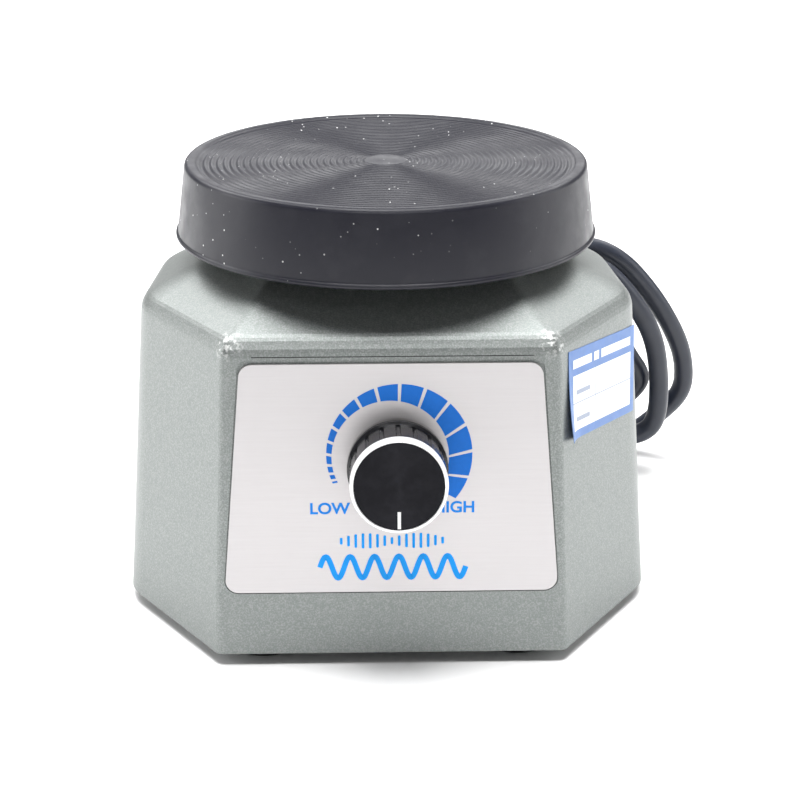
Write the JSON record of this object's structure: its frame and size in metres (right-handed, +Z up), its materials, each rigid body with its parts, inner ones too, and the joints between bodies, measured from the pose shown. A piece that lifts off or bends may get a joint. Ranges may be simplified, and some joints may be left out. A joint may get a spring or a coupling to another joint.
{
  "type": "laboratory vibrator",
  "caption": "Round rubber-topped vibrating table on an octagonal cast housing, with an intensity knob on a sloping metal panel and a mains cord in a hank behind.",
  "frame": {"origin": "on the surface the feet stand on, midway between the knob's face and the back wall, in the plane of symmetry of the housing", "axes": "+Z up, -Y out of the front panel, +X to the right seen from the front"},
  "size_m": [0.1619, 0.2386, 0.1141],
  "materials": {
    "cast_paint": "hammertone paint on a casting",
    "panel_metal": "satin anodised sheet with printed scale",
    "label_film": "printed vinyl sticker",
    "plated_steel": "zinc plated",
    "screw_steel": "plated screws",
    "core_steel": "laminated silicon steel",
    "bobbin_nylon": "natural nylon",
    "copper_wire": "enamelled copper wire",
    "foot_rubber": "moulded rubber",
    "table_rubber": "moulded rubber with fine grooves",
    "table_metal": "cast and turned aluminium",
    "pot_case": "pressed can",
    "board_laminate": "glass laminate with solder mask",
    "component_case": "moulded epoxy",
    "knob_black": "glossy moulded skirt",
    "knob_bright": "diamond cut edge",
    "knob_dark_metal": "black anodised, spun",
    "pointer_white": "painted line",
    "cord_sheath": "soft PVC sheath",
    "tie_plastic": "coated twist tie",
    "plug_plastic": "moulded PVC",
    "pin_metal": "nickel plated brass"
  },
  "bodies": {
    "base": {"base_plate": "plated_steel", "base_screws": "screw_steel", "board_screws": "screw_steel", "board_standoffs": "bobbin_nylon", "bracket_screws": "screw_steel", "capacitor": "component_case", "coil_bobbin": "bobbin_nylon", "coil_core": "core_steel", "coil_winding": "copper_wire", "control_board": "board_laminate", "cord_hank": "cord_sheath", "cord_inner": "cord_sheath", "cord_lead": "cord_sheath", "cord_tail": "cord_sheath", "cord_tie": "tie_plastic", "core_bolts": "screw_steel", "core_bracket": "plated_steel", "earth_screw": "plated_steel", "foot_front_left": "foot_rubber", "foot_front_right": "foot_rubber", "foot_nuts": "plated_steel", "foot_rear_left": "foot_rubber", "foot_rear_right": "foot_rubber", "foot_screws": "screw_steel", "front_panel": "panel_metal", "housing": "cast_paint", "inspection_label": "label_film", "mains_leads": "cord_sheath", "mount_front_left": "foot_rubber", "mount_front_right": "foot_rubber", "mount_rear_left": "foot_rubber", "mount_rear_right": "foot_rubber", "neck_gasket": "foot_rubber", "plug_body": "plug_plastic", "plug_pins": "pin_metal", "post_screws": "screw_steel", "potentiometer_case": "pot_case", "potentiometer_nut": "plated_steel", "potentiometer_terminals": "copper_wire", "potentiometer_washer": "plated_steel", "strain_relief": "cord_sheath", "support_posts": "plated_steel", "terminal_block": "bobbin_nylon", "triac": "component_case", "triac_heatsink": "table_metal"},
    "table": {"carrier_plate": "plated_steel", "armature": "core_steel", "armature_screws": "screw_steel", "table_stem": "table_metal", "stem_screws": "screw_steel", "table_disc": "table_metal", "table_screw": "screw_steel", "rubber_cap": "table_rubber"},
    "knob": {"potentiometer_shaft": "screw_steel", "potentiometer_wiper": "bobbin_nylon", "knob_skirt": "knob_black", "knob_ring": "knob_bright", "knob_face": "knob_dark_metal", "knob_pointer": "pointer_white", "knob_set_screw": "screw_steel"}
  },
  "joints": [
    {"name": "table_vibrate", "type": "slide", "parent": "base", "child": "table", "axis": [0, 0, 1], "range_m": [-0.0008, 0.0008], "stiffness_N_per_m": 60000, "deforming": ["mount_front_left", "mount_front_right", "mount_rear_left", "mount_rear_right"]},
    {"name": "knob_turn", "type": "hinge", "parent": "base", "child": "knob", "pos_m": [0.0015, -0.04999, 0.05091], "axis": [0, 0.9982, -0.0606], "range_deg": [0, 300]}
  ]
}
